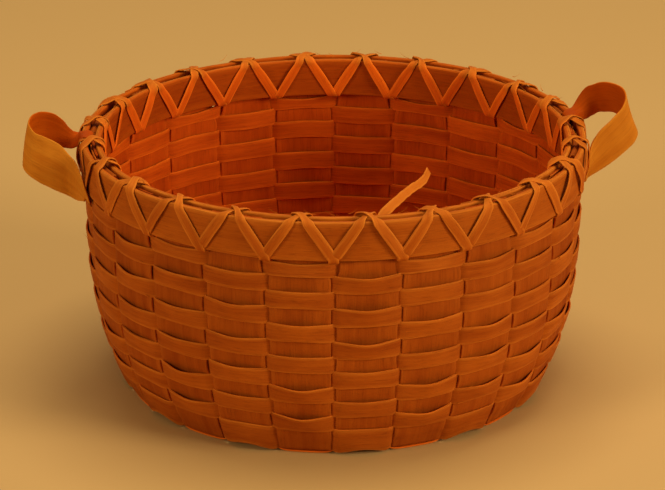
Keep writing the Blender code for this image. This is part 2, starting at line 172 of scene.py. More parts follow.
class BasketSizes(bpy.types.PropertyGroup):
    """Sizes of the basket and of the splint it is made from."""

    uprights: IntProperty(name="Uprights", description="Uprights round the wall", default=24, min=6)
    wall_rows: IntProperty(name="Wall rows", description="Weavers up the wall", default=12, min=2)
    base_rows: IntProperty(name="Base rows", description="Weavers round the base", default=6, min=1)
    rim_radius: length("Rim radius", "Outside of the outer hoop", 82.0)
    rim_height: length("Rim height", "Top edge of the hoops", 83.3)
    base_radius: length("Base radius", "Foot of the wall", 67.4)
    shoulder_radius: length("Shoulder radius", "Middle of the uprights under the rim", 79.7)
    flare: FloatProperty(name="Flare", description="How early the wall stands up", default=3.0)
    seat_gap: length("Seat gap", "Room between two strips that touch", 0.1)
    stake_thickness: length("Stake thickness", "Uprights", 0.8)
    weaver_thickness: length("Weaver thickness", "Weavers of the wall and base", 0.6)
    row_pitch: length("Row pitch", "Height from one row of the wall to the next", 5.46)
    row_height: length("Row height", "Height of a wall weaver where it lies outside", 6.0)
    hoop_width: length("Hoop width", "Height of the two hoops", 12.7)
    hoop_thickness: length("Hoop thickness", "Each hoop", 2.0)
    lashing_width: length("Lashing width", "Across the lashing strip", 3.3)
    lashing_thickness: length("Lashing thickness", "The lashing strip", 0.4)
    handle_width: length("Handle width", "Across a handle's strip", 15.2)
    handle_thickness: length("Handle thickness", "A handle's strip", 0.6)
    handle_reach: length("Handle reach", "How far a handle stands out from the hoop", 16.6)
    handle_spread: length("Handle spread", "Half of a handle's loop along the hoop", 9.6)


class BasketColours(bpy.types.PropertyGroup):
    """Light and dark grain of each kind of splint, and the colours of the stage."""

    stake_light: colour("Stake, light", "Light grain of the uprights", (0.40, 0.076, 0.0040))
    stake_dark: colour("Stake, dark", "Dark grain of the uprights", (0.24, 0.033, 0.0016))
    weaver_light: colour("Weaver, light", "Light grain of the weavers", (0.46, 0.097, 0.0056))
    weaver_dark: colour("Weaver, dark", "Dark grain of the weavers", (0.27, 0.040, 0.0020))
    hoop_light: colour("Hoop, light", "Light grain of the hoops", (0.46, 0.098, 0.0054))
    hoop_dark: colour("Hoop, dark", "Dark grain of the hoops", (0.28, 0.044, 0.0021))
    lashing_light: colour("Lashing, light", "Light grain of the lashing", (0.52, 0.115, 0.0066))
    lashing_dark: colour("Lashing, dark", "Dark grain of the lashing", (0.33, 0.053, 0.0026))
    handle_light: colour("Handle, light", "Light grain of the handles", (0.60, 0.200, 0.0120))
    handle_dark: colour("Handle, dark", "Dark grain of the handles", (0.43, 0.105, 0.0038))
    floor: colour("Floor", "Plain pale floor", (0.56, 0.310, 0.082))
    sky: colour("Sky", "Soft light from all round", (1.0, 0.87, 0.70))


def polar(radius, angle, height):
    """Points by radius, angle and height: (radius sin angle, -radius cos angle, height)."""
    radius, angle, height = np.broadcast_arrays(radius, angle, height)
    return np.stack((radius * np.sin(angle), -radius * np.cos(angle), height), axis=-1)


def ease(share):
    """A smooth step from 0 to 1: 3 s squared less 2 s cubed, held outside 0 to 1."""
    share = np.clip(share, 0.0, 1.0)
    return share * share * (3 - 2 * share)


def bump(distance, reach):
    """A smooth hump, 1 at the middle and 0 from the reach outwards."""
    return 1 - ease(np.abs(distance) / reach)


def drift(turns, random, size, waves=(1, 2, 3, 5, 8, 13)):
    """Slow waviness round the basket: a sum of sines of whole numbers of waves a turn."""
    total = np.zeros_like(turns, dtype=float)
    for wave in waves:
        total += random.normal() * np.sin(2 * math.pi * (wave * turns + random.random()))
    return size * total / math.sqrt(len(waves))


class Plan:
    """What follows from the sizes: the layers of the rim, the curve of the wall and the weave."""

    def __init__(self, size):
        self.size = size
        self.pitch = 2 * math.pi / size.uprights
        self.hoop_bottom = size.rim_height - size.hoop_width
        self.hoop_middle = size.rim_height - size.hoop_width / 2
        self.wall_top = self.hoop_bottom - 2 * size.lashing_thickness - 4 * size.seat_gap
        self.weave = size.stake_thickness / 2 + size.seat_gap + size.weaver_thickness / 2
        self.base_plane = self.weave + size.weaver_thickness / 2
        self.outer_stake = (size.rim_radius - size.hoop_thickness - size.seat_gap
                            - size.stake_thickness / 2)
        self.rim_weaver = self.outer_stake - self.weave
        self.inner_stake = self.rim_weaver - self.weave
        self.inner_hoop = (self.inner_stake - size.stake_thickness / 2 - size.seat_gap
                           - size.hoop_thickness)
        self.foot = self.base_plane + CORNER_HEIGHT
        self.rim_weaver_top = size.rim_height - 1.5 * MM
        self.fold_top = self.rim_weaver_top + size.seat_gap + size.stake_thickness / 2

    def angle(self, place):
        """The angle of a place counted in uprights."""
        return place * self.pitch

    def wall_radius(self, height):
        """Base radius + (shoulder - base) (1 - (1 - height / wall top) to the power flare)."""
        left = np.clip(1 - height / self.wall_top, 0.0, 1.0)
        rise = self.size.shoulder_radius - self.size.base_radius
        return self.size.base_radius + rise * (1 - left ** self.size.flare)

    def wall_slope(self, height):
        """The derivative of the wall's radius by its height."""
        left = np.clip(1 - height / self.wall_top, 0.0, 1.0)
        rise = self.size.shoulder_radius - self.size.base_radius
        return rise * self.size.flare * left ** (self.size.flare - 1) / self.wall_top

    def wall_place(self, place, height, offset):
        """A point off the wall's middle surface, along its normal (1, -slope) made a unit."""
        slope = self.wall_slope(height)
        norm = np.sqrt(1 + slope * slope)
        radius = self.wall_radius(height) + offset / norm
        return polar(radius, self.angle(place), height - offset * slope / norm)


def stations(half_width, arris, middles):
    """Places across a strip from -1 to 1, and how full its thickness is at each.

    Three lie on the rounding at each edge, where the fullness falls from 1 to a half, and the
    rest are even between them.
    """
    rounding = arris / half_width
    side = 1 - rounding * np.array([1.0, 0.35, 0.0])
    inner = np.linspace(-side[0], side[0], middles + 2)[1:-1]
    across = np.concatenate((-side[::-1], inner, side))
    edge = np.array([1.0, 0.86, 0.5])
    return across, np.concatenate((edge[::-1], np.ones(middles), edge))


def unit(vectors):
    return vectors / np.linalg.norm(vectors, axis=-1, keepdims=True)


def surface_normals(middle, closed):
    """The unit cross product of the steps along and across a grid of points."""
    if closed:
        along = np.roll(middle, -1, axis=0) - np.roll(middle, 1, axis=0)
    else:
        along = np.gradient(middle, axis=0)
    return unit(np.cross(along, np.gradient(middle, axis=1)))


def skin(middle, half, across, half_width, start=0.0, closed=False):
    """The closed skin round a grid of points on the middle surface of a strip of splint.

    It is the middle plus and minus the half thickness along the surface's normal, joined round
    both edges and both ends. The grain map is the length along the strip and the length round
    its section, in metres. Gives the points, the faces, the map and the places across the strip.
    """
    count = middle.shape[1]
    normals = surface_normals(middle, closed)
    half = np.broadcast_to(np.asarray(half, dtype=float), middle.shape[:2])[..., None]
    ring = np.concatenate((middle + normals * half, (middle - normals * half)[:, ::-1]), axis=1)
    centre = middle[:, count // 2]
    steps = np.linalg.norm(np.diff(centre, axis=0, append=centre[:1]), axis=-1)
    along = start + np.concatenate(([0.0], np.cumsum(steps)))
    reach = across * half_width
    thickness = 2 * float(np.max(half))
    back = reach[-1] + thickness + (reach[-1] - reach[::-1])
    around = np.concatenate((reach, back, [back[-1] + thickness]))

    rows, columns = ring.shape[:2]
    index = np.arange(rows * columns).reshape(rows, columns)
    after = np.roll(index, -1, axis=0)
    quads = np.stack((index, after, np.roll(after, -1, axis=1), np.roll(index, -1, axis=1)),
                     axis=-1)
    u0, v0 = np.meshgrid(along[:-1], around[:-1], indexing="ij")
    u1, v1 = np.meshgrid(along[1:], around[1:], indexing="ij")
    maps = np.stack((np.stack((u0, v0), -1), np.stack((u1, v0), -1),
                     np.stack((u1, v1), -1), np.stack((u0, v1), -1)), axis=2)
    if closed:
        return ring, quads.reshape(-1, 4), maps.reshape(-1, 4, 2), reach
    quads, maps = quads[:-1].reshape(-1, 4), maps[:-1].reshape(-1, 4, 2)
    for row, last in ((0, False), (rows - 1, True)):
        outer, inner = index[row, :count], index[row, :count - 1:-1]
        cap = np.stack((outer[:-1], outer[1:], inner[1:], inner[:-1]), axis=-1)
        cap_map = np.stack((reach[:-1], reach[1:], reach[1:], reach[:-1]), axis=-1)
        depth = np.broadcast_to([0.0, 0.0, thickness, thickness], cap_map.shape)
        cap_map = np.stack((along[row] + depth, cap_map), axis=-1)
        if last:
            cap, cap_map = cap[:, ::-1], cap_map[:, ::-1]
        quads = np.concatenate((quads, cap))
        maps = np.concatenate((maps, cap_map))
    return ring, quads, maps, reach


def strip(name, middle, half, across, half_width, tone=0.0, wear_and_shade=0.0, start=0.0, closed=False,
          inner=None):
    """A strip of splint as one object: the skin of its grid of middle points.

    tone and wear_and_shade are kept for the material, with the nearness to an edge, where the
    material paints a highlight, and how far the place faces into the basket or into a loop, where
    it paints bounced light and shade; that is the strip's back unless it is given.
    """
    ring, quads, maps, reach = skin(middle, half, across, half_width, start, closed)
    rows, count = middle.shape[:2]
    nearness = np.clip(1 - (half_width - np.abs(reach)) / (0.9 * MM), 0.0, 1.0)
    layers = {}
    for key, value in (("tone", tone), ("wear_and_shade", wear_and_shade), ("edge", nearness[None, :])):
        value = np.broadcast_to(np.asarray(value, dtype=float), (rows, count))
        layers[key] = np.concatenate((value, value[:, ::-1]), axis=1)
    if inner is None:
        inner = np.repeat([0.0, 1.0], count)[None, :]
    layers["inner"] = np.broadcast_to(inner, (rows, 2 * count))
    return make_object(name, ring, quads, maps, layers)


def make_object(name, points, quads, maps, layers):
    """Puts whole arrays of points, four-sided faces, grain map and values into a new object."""
    mesh = bpy.data.meshes.new(name)
    mesh.vertices.add(points.size // 3)
    mesh.vertices.foreach_set("co", points.reshape(-1).astype(np.float32))
    mesh.loops.add(quads.size)
    mesh.loops.foreach_set("vertex_index", quads.reshape(-1).astype(np.int32))
    mesh.polygons.add(len(quads))
    mesh.polygons.foreach_set("loop_start", np.arange(len(quads), dtype=np.int32) * 4)
    mesh.update(calc_edges=True)
    grain = mesh.uv_layers.new(name=GRAIN_MAP)
    grain.data.foreach_set("uv", maps.reshape(-1).astype(np.float32))
    for key, value in layers.items():
        layer = mesh.attributes.new(key, "FLOAT", "POINT")
        layer.data.foreach_set("value", value.reshape(-1).astype(np.float32))
    if mesh.validate():
        raise RuntimeError("faulty mesh: " + name)
    mesh.shade_smooth()
    mesh.set_sharp_from_angle(angle=math.radians(62))
    made = bpy.data.objects.new(name, mesh)
    bpy.context.scene.collection.objects.link(made)
    return made


def dress(piece, kind, *nodes):
    """Gives a piece its splint, its body and the nodes that it stands for, if it has any."""
    piece.data.materials.append(splint_material(kind))
    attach(piece, BODY)
    if nodes:
        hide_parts(*nodes)


def node(tree, kind, settings=None, inputs=None):
    """Adds a shader node. An input takes a value, or a socket to be linked from."""
    made = tree.nodes.new("ShaderNode" + kind)
    for key, value in (settings or {}).items():
        setattr(made, key, value)
    for key, value in (inputs or {}).items():
        if isinstance(value, bpy.types.NodeSocket):
            tree.links.new(value, made.inputs[key])
        else:
            made.inputs[key].default_value = value
    return made


def math_node(tree, operation, first, second, third=None):
    inputs = {0: first, 1: second}
    if third is not None:
        inputs[2] = third
    return node(tree, "Math", {"operation": operation}, inputs).outputs[0]


def mix_colours(tree, blend, share, first, second):
    made = node(tree, "Mix", {"data_type": "RGBA", "blend_type": blend, "clamp_factor": True},
                {"Factor": share})
    for socket, value in (("A", first), ("B", second)):
        target = [one for one in made.inputs if one.name == socket and one.type == "RGBA"][0]
        if isinstance(value, bpy.types.NodeSocket):
            tree.links.new(value, target)
        else:
            target.default_value = value
    return [one for one in made.outputs if one.type == "RGBA"][0]


def grain_noise(tree, coordinates, along, across, detail, roughness, distortion=0.0):
    """Noise on the grain map, drawn out along the strip: waves a metre along and across it."""
    stretched = node(tree, "Mapping", None, {"Vector": coordinates, "Scale": (along, across, 1.0)})
    noise = node(tree, "TexNoise", {"noise_dimensions": "2D"}, {
        "Vector": stretched.outputs[0], "Scale": 1.0, "Detail": detail,
        "Roughness": roughness, "Distortion": distortion})
    return noise.outputs["Fac"]


def stretch(tree, value, low, high, to_low=0.0, to_high=1.0):
    """Maps a range of a value to another, held at both ends."""
    made = node(tree, "MapRange", {"clamp": True}, {
        "Value": value, "From Min": low, "From Max": high, "To Min": to_low, "To Max": to_high})
    return made.outputs[0]


# What the faces that look into the basket or into a handle's loop keep of their colour, for
# every kind and then for the kinds that have their own: painted redder than the outside, and for
# the hoop and the handles darker too, as the bounced light and the shade inside
PAINTED_INNER_BOUNCE = (1.50, 1.00, 0.62)
PAINTED_INNER_SHADE_AND_BOUNCE = {"hoop": (0.92, 0.62, 0.36), "handle": (0.94, 0.46, 0.19)}
SPLINT_LOOKS = {
    # kind: (contrast of the grain, pores, strength of the painted highlight on the edges,
    # roughness)
    "stake": (0.75, 0.45, 0.30, 0.66),
    "weaver": (0.85, 0.45, 0.70, 0.66),
    "hoop": (0.8, 0.50, 0.80, 0.66),
    "lashing": (0.8, 0.35, 0.75, 0.62),
    "handle": (0.9, 0.40, 0.0, 0.60),
}


def splint_material(kind):
    """Bare ash splint. Fibres, streaks and pores follow the strip. Rubbed places are paler, places
    tucked under a neighbour are painted darker as shade, the edges are painted paler as a
    highlight, and faces into the basket or a loop are painted redder as bounced light and shade."""
    name = kind + "_splint_finish"
    if name in bpy.data.materials:
        return bpy.data.materials[name]
    colours = bpy.context.scene.basket_colours
    light = (*getattr(colours, kind + "_light"), 1.0)
    dark = (*getattr(colours, kind + "_dark"), 1.0)
    contrast, pore_depth, edge_highlight, roughness = SPLINT_LOOKS[kind]
    material = bpy.data.materials.new(name)
    material.use_nodes = True
    tree = material.node_tree
    shader = tree.nodes["Principled BSDF"]
    grain = node(tree, "UVMap", {"uv_map": GRAIN_MAP}).outputs[0]
    tone, wear_and_shade, edge, inner = (node(tree, "Attribute", {"attribute_name": key}).outputs["Fac"]
                               for key in ("tone", "wear_and_shade", "edge", "inner"))

    fibres = grain_noise(tree, grain, 55, 2600, 5, 0.62)
    streaks = grain_noise(tree, grain, 11, 420, 3, 0.55, 0.3)
    blotches = grain_noise(tree, grain, 45, 120, 3, 0.5)
    pores = stretch(tree, grain_noise(tree, grain, 170, 5200, 2, 0.5), 0.60, 0.72)

    clear_streaks = stretch(tree, streaks, 0.28, 0.72)
    clear_fibres = stretch(tree, fibres, 0.3, 0.7)
    soft_blotches = stretch(tree, blotches, 0.3, 0.7, -0.5, 0.5)
    share = math_node(tree, "MULTIPLY_ADD", clear_streaks, 0.42 * contrast, 0.12)
    share = math_node(tree, "MULTIPLY_ADD", clear_fibres, 0.34 * contrast, share)
    share = math_node(tree, "MULTIPLY_ADD", soft_blotches, 0.34, share)
    share = math_node(tree, "ADD", share, tone)
    # Lighter where wear_and_shade is high: partly rubbing, mostly painted shade that darkens the
    # places tucked under a neighbour, behind the hoops and low on the lashing
    share = math_node(tree, "MULTIPLY_ADD", wear_and_shade, 0.22, share)
    base = mix_colours(tree, "MIX", share, dark, light)
    # Painted highlight: near the edges the colour is mixed towards a paler one, as light catching
    # the arris
    painted_edge_highlight = math_node(tree, "MULTIPLY", edge, stretch(tree, fibres, 0.35, 0.65, 0.35, 1.0))
    pale = tuple(min(1.0, part * gain) for part, gain in zip(light[:3], (1.35, 1.75, 2.2))) + (1.0,)
    base = mix_colours(tree, "MIX", math_node(tree, "MULTIPLY", painted_edge_highlight, edge_highlight), base, pale)
    base = mix_colours(tree, "MULTIPLY", math_node(tree, "MULTIPLY", pores, pore_depth), base,
                       (0.42, 0.30, 0.22, 1.0))
    # Painted bounced light and shade: faces into the basket or a loop are multiplied redder, and
    # for the hoop and the handles darker too
    base = mix_colours(tree, "MULTIPLY", inner, base, (*PAINTED_INNER_SHADE_AND_BOUNCE.get(kind, PAINTED_INNER_BOUNCE), 1.0))
    tree.links.new(base, shader.inputs["Base Color"])

    rough = stretch(tree, streaks, 0.25, 0.75, roughness + 0.10, roughness - 0.08)
    tree.links.new(rough, shader.inputs["Roughness"])
    shader.inputs["Specular IOR Level"].default_value = 0.06
    shader.inputs["Specular Tint"].default_value = (1.0, 0.62, 0.28, 1.0)
    height = math_node(tree, "MULTIPLY_ADD", fibres, 0.6, math_node(tree, "MULTIPLY", streaks, 0.8))
    height = math_node(tree, "MULTIPLY_ADD", pores, -0.5, height)
    relief = node(tree, "Bump", None, {"Strength": 0.55, "Distance": 0.10 * MM, "Height": height})
    tree.links.new(relief.outputs[0], shader.inputs["Normal"])
    return material


def woven_place(size, place, first, bulge_out, lift, bulge_in, across, steepness, weave):
    """How far a weaver stands off the middle of the uprights.

    With S the sine of half a turn for each upright, counted from the first one, the offset is
    weave tanh(steepness S) + bulge S |S|. The bulge is that of the float at hand, which on the
    outside grows by its lift towards the strip's upper edge.
    """
    wave = np.sin(math.pi * (place - first))
    float_index = np.floor(place).astype(int) % size.uprights
    outside = bulge_out[float_index] + lift[float_index] * across
    bulge = np.where(wave > 0, outside, bulge_in[float_index])
    return weave * np.tanh(steepness * wave) + bulge * wave * np.abs(wave), wave


def lap_layers(place, first, uprights, laps):
    """-1 in the lap at a strip's start, 1 in the lap at its end and 0 between."""
    gone = place - first
    return ease((gone - uprights + 0.3) / 0.3) - 1 + ease((gone - laps + 0.1) / 0.3)


def weaver_run(size, first, reach):
    """Places along a weaver, from near one edge of its first upright to past its start again."""
    spare = 0.5 - reach
    count = STEPS_PER_UPRIGHT * (size.uprights + LAP_UPRIGHTS)
    return np.linspace(first + spare, first + size.uprights + LAP_UPRIGHTS - spare, count)[:, None]


def row_places(plan, row):
    """The middle of a row, and the heights where it meets the rows above and below."""
    size = plan.size
    rises = np.resize(ROW_RISES, size.wall_rows + 2) * MM
    centres = (plan.hoop_bottom - FIRST_ROW_DROP - np.arange(size.wall_rows + 2) * size.row_pitch
               + rises)
    above = (centres[row - 1] + centres[row]) / 2 if row else plan.hoop_bottom - 1.3 * MM
    last = row == size.wall_rows - 1
    below = plan.base_plane + 0.3 * MM if last else (centres[row] + centres[row + 1]) / 2
    return centres[row], above, below


def make_wall_weaver(plan, row):
    """One row of the wall: over one upright, under the next, once round and on over its start.

    Each edge's height is the height where the row meets its neighbour, plus the square of the
    weave's wave times what is left to the edge's own height. The top row tucks under the hoop,
    and the lowest one reaches down round the corner.
    """
    size = plan.size
    random = np.random.default_rng(200 + row)
    first = WALL_LAP_UPRIGHT + LAP_ADVANCE * row
    half_height = size.row_height / 2
    centre, meet_above, meet_below = row_places(plan, row)
    calm = 1 - 0.75 * np.sin(plan.angle(np.arange(size.uprights) + 0.5)) ** 4
    lift = random.uniform(0.25, 1.10, size.uprights) * calm * MM
    bulge_out = lift + random.uniform(-0.05, 0.25, size.uprights) * calm * MM
    bulge_in = random.uniform(0.15, 0.55, size.uprights) * MM
    top, bottom = centre + half_height, centre - half_height
    if row == 0:
        top, lift = plan.hoop_bottom - 1.7 * MM, -0.4 * lift
        bulge_out *= 0.3
    if row == size.wall_rows - 1:
        bottom -= 1.6 * MM
        bulge_out *= 0.7
        lift = -0.7 * lift
    across, fullness = stations(half_height, 0.25 * MM, 5)
    place = weaver_run(size, first, 0.42)
    turns = place / size.uprights
    offset, wave = woven_place(size, place, first, bulge_out, lift, bulge_in, across[None, :],
                               5.0, plan.weave)
    layer = lap_layers(place, first, size.uprights, LAP_UPRIGHTS)
    shaved = np.abs(layer)
    half = size.weaver_thickness / 2 * (1 - LAP_SHAVE_SHARE * shaved) * DRAWN_SHARE
    offset = offset + layer * size.weaver_thickness * LAP_OFFSET_SHARE

    out = wave * wave
    top = meet_above + 0.30 * MM + (top - meet_above - 0.30 * MM) * out
    bottom = meet_below - 0.30 * MM + (bottom - meet_below + 0.30 * MM) * out
    upper = (1 + across[None, :]) / 2
    height = bottom + (top - bottom) * upper + drift(turns, random, 0.10 * MM)
    height = height + drift(turns, random, 0.05 * MM, (3, 5, 7, 11, 17)) * across[None, :]
    if row == 0:
        height = height - upper * 0.55 * MM * ease(-wave * 2)
    middle = plan.wall_place(place + 0 * across[None, :], height, offset)
    shade = random.uniform(-0.10, 0.10)
    tones = random.uniform(-0.10, 0.10, size.uprights)[np.floor(place).astype(int) % size.uprights]
    tone = shade + tones * wave * wave + drift(turns, random, 0.05)
    # Painted shade: lighter at the middle of each outside float, darker where the row dives under
    # an upright, and darker still where it runs inside
    wear_and_shade = np.where(wave > 0, wave * wave, 0.25 * wave * wave)
    name = "wall_weaver_%02d" % (row + 1)
    piece = strip(name + "_splint", middle, half * fullness[None, :], across, half_height,
                  tone, wear_and_shade, random.uniform(0, 3))
    dress(piece, "weaver", name)


def stake_line(plan, folded, level):
    """Half of a stake from the rim to the middle of the base.

    Gives the distance from the middle, height, half width, half thickness, roundness across and
    share of the weave's wave at each point. A folded one turns over the rim weaver in a half
    circle. The wall follows its own curve, and the foot is a quadratic curve to the flat base.
    """
    size = plan.size
    rim = plan.outer_stake if folded else plan.inner_stake
    full = size.stake_thickness / 2 * DRAWN_SHARE
    wide = math.sin(WALL_STAKE_HALF_ANGLE)
    narrow = math.sin(RIM_STAKE_HALF_ANGLE)
    parts = []

    def add(radius, height, half_width, half, roundness, waving):
        parts.append(np.stack(np.broadcast_arrays(radius, height, half_width, half, roundness,
                                                  waving), axis=-1))

    top = plan.fold_top
    if folded:
        bend = (plan.outer_stake - plan.inner_stake) / 2
        low = top - FOLD_TAIL_LENGTH
        tail = np.linspace(low, top - bend, 12, endpoint=False)
        shaved = full * (0.5 + 0.5 * ease((tail - low) / (4 * MM)))
        add(plan.inner_stake, tail, rim * narrow, shaved, 1.0, 0.0)
        turn = np.linspace(math.pi, 0, 10, endpoint=False)
        add(plan.rim_weaver + bend * np.cos(turn), top - bend + bend * np.sin(turn), rim * narrow,
            full, 1.0, 0.0)
        top -= bend
    rows = size.wall_rows + 2
    height = np.linspace(top, plan.foot, 11 * rows)
    shift = ease((height - plan.wall_top - 0.1 * MM) / (1.8 * MM))
    radius = plan.wall_radius(height)
    radius = radius + (rim - size.shoulder_radius) * shift
    spread = narrow + (wide - narrow) * ease((plan.wall_top - 0.5 * MM - height) / (7 * MM))
    waving = ease((plan.wall_top + 0.6 * MM - height) / (1.5 * MM))
    waving = waving * ease((height - plan.foot) / (4 * MM))
    base_share = math.sin(BASE_STAKE_HALF_ANGLE)
    add(radius, height, radius * spread, full, 1.0, waving)

    slope = float(plan.wall_slope(plan.foot))
    foot_radius = float(plan.wall_radius(plan.foot))
    elbow = foot_radius - slope * (plan.foot - plan.base_plane)
    inner = elbow - 2.4 * MM
    share = np.linspace(0, 1, 9)[1:]
    radius = (1 - share) ** 2 * foot_radius + 2 * share * (1 - share) * elbow + share ** 2 * inner
    height = (1 - share) ** 2 * plan.foot + (2 * share * (1 - share) + share ** 2) * plan.base_plane
    blend = spread[-1] + (wide - spread[-1]) * share
    add(radius, height, radius * blend, full, 1 - share, 0.0)
    waist_radius = 19 * MM
    waist = 2.25 * MM
    radius = np.linspace(inner, RAMP_RADIUS, 34)[1:]
    left = ease((radius - RAMP_RADIUS) / (inner - RAMP_RADIUS))
    narrowed = base_share + (wide - base_share) * left ** 3
    add(radius, plan.base_plane, radius * narrowed, full, 0.0, 0.0)
    lift = level * 0.5 * MM
    share = np.linspace(0, 1, 11)[1:]
    ramp_half = RAMP_RADIUS * base_share
    add(RAMP_RADIUS + (waist_radius - RAMP_RADIUS) * share, plan.base_plane + lift * ease(share),
        ramp_half + (waist - ramp_half) * share,
        full + (WAIST_HALF_THICKNESS - full) * ease(share), 0.0, 0.0)
    add(np.linspace(waist_radius, 0, 9)[1:], plan.base_plane + lift, waist,
        WAIST_HALF_THICKNESS, 0.0, 0.0)
    return np.concatenate(parts)


def make_stake(plan, upright):
    """A long stake from rim to rim. Each half is a line of the section swept straight across and
    rounded to the wall, pushed in and out by the rows that cross it."""
    size = plan.size
    random = np.random.default_rng(400 + upright)
    folded = upright % 2 == 1
    set_size = size.uprights // 4
    level = CROSSING_ORDER[upright // 2] + (0 if folded else set_size)
    line = stake_line(plan, folded, level)
    across, fullness = stations(STAKE_HALF_WIDTH, 0.3 * MM, 9)
    side = across[None, :]
    along = polar(1.0, plan.angle(upright + 0.5), 0.0)
    lateral = np.array([-along[1], along[0], 0.0])
    middles, halves, tones, wear_and_shade_parts = [], [], [], []
    for turned, part in ((1, line), (-1, line[:-1][::-1])):
        distance, height, half_width, half, roundness, waving = part.T[..., None]
        number = upright if turned > 0 else upright + size.uprights // 2
        edge_drift = drift(height / (60 * MM), random, 0.012, (1, 2, 3, 4, 6))
        reach = half_width * (1 + edge_drift) * side
        out = np.sqrt(np.maximum(distance ** 2 - roundness * reach ** 2, 0.0))
        row = (plan.hoop_bottom - FIRST_ROW_DROP - height) / size.row_pitch
        crossing = -np.cos(math.pi * number) * np.cos(math.pi * row)
        push = -crossing * waving * (0.10 + 0.24 * side ** 2) * MM
        ripple = np.sin(row * 0.9 + random.uniform(0, 6))
        push = push + waving * 0.14 * MM * (1 - side ** 2) * ripple
        step_out, step_up = np.gradient(part[:, 0]), np.gradient(part[:, 1])
        step = np.hypot(step_out, step_up)
        normal_out = np.abs(step_up / step)[:, None]
        normal_up = -np.abs(step_out / step)[:, None]
        place = (out + push * normal_out)[..., None] * along * turned
        place = place + (reach * np.ones_like(out))[..., None] * lateral
        place = place + (height + push * normal_up)[..., None] * np.array([0.0, 0.0, 1.0])
        middles.append(place)
        halves.append(half * fullness[None, :])
        tones.append(np.broadcast_to(drift(height / (90 * MM), random, 0.05, (1, 2, 3)), out.shape))
        # Lighter where the stake is woven in the wall, darker behind the hoops as painted shade,
        # and across the base
        wear_and_shade_parts.append(np.broadcast_to(waving * 0.55, out.shape))
    name = "stake_%02d" % (upright + 1)
    tone = np.concatenate(tones) + random.uniform(-0.12, 0.12)
    piece = strip(name + "_splint", np.concatenate(middles), np.concatenate(halves), across,
                  STAKE_HALF_WIDTH, tone, np.concatenate(wear_and_shade_parts), random.uniform(0, 3))
    dress(piece, "stake", name)


def make_base_weaver(plan, row):
    """One row round the flat base, under one stake and over the next."""
    size = plan.size
    random = np.random.default_rng(300 + row)
    first = BASE_LAP_UPRIGHT + LAP_ADVANCE * row
    slope = float(plan.wall_slope(plan.foot))
    edge = float(plan.wall_radius(plan.foot)) - slope * CORNER_HEIGHT - 3.8 * MM
    row_pitch = (edge - RAMP_RADIUS - BASE_WOVEN_MARGIN) / size.base_rows
    half_width = row_pitch / 2 - 0.14 * MM
    centre = edge - (row + 0.5) * row_pitch
    if row == 0:
        # The outer row reaches out under the corner, so that no light comes through there
        half_width += 1.8 * MM
        centre += 1.8 * MM
    across, fullness = stations(half_width, 0.25 * MM, 4)
    place = weaver_run(size, first, 0.36)
    flat = np.zeros(size.uprights)
    offset, wave = woven_place(size, place, first, flat, flat, flat, across[None, :], 3.2,
                               plan.weave * 0.98)
    layer = lap_layers(place, first, size.uprights, LAP_UPRIGHTS)
    half = size.weaver_thickness / 2 * (1 - LAP_SHAVE_SHARE * np.abs(layer)) * DRAWN_SHARE
    offset = offset + layer * size.weaver_thickness * LAP_OFFSET_SHARE
    offset = np.minimum(offset, plan.base_plane - half - 0.02 * MM)
    radius = centre + drift(place / size.uprights, random, 0.10 * MM)
    radius = radius + across[None, :] * half_width
    middle = polar(radius, plan.angle(place), plan.base_plane - offset)
    tone = random.uniform(-0.1, 0.1) + drift(place / size.uprights, random, 0.06)
    name = "base_weaver_%02d" % (row + 1)
    # Painted shade: a little lighter at the middle of each float, darker where the row dives under
    # a stake
    piece = strip(name + "_splint", middle, half * fullness[None, :], across, half_width, tone,
                  0.2 * wave * wave, random.uniform(0, 3))
    dress(piece, "weaver", name)


def make_rim_weaver(plan):
    """A plain strip between the two layers of stake ends, almost a whole turn long."""
    size = plan.size
    random = np.random.default_rng(31)
    bottom = plan.hoop_bottom + size.stake_thickness
    half_width = (plan.rim_weaver_top - bottom) / 2
    across, fullness = stations(half_width, 0.25 * MM, 5)
    start = RIM_WEAVER_END_UPRIGHT + 0.5
    place = np.linspace(start + 0.02, start + size.uprights - 0.02, 24 * 10)[:, None]
    turns = place / size.uprights
    height = bottom + half_width * (1 + across[None, :]) + drift(turns, random, 0.12 * MM)
    middle = polar(plan.rim_weaver + drift(turns, random, 0.04 * MM), plan.angle(place), height)
    half = size.weaver_thickness / 2 * DRAWN_SHARE * fullness[None, :]
    piece = strip("rim_weaver_splint", middle, half, across, half_width, -0.1, 0.0, 1.0)
    dress(piece, "weaver", "rim_weaver")


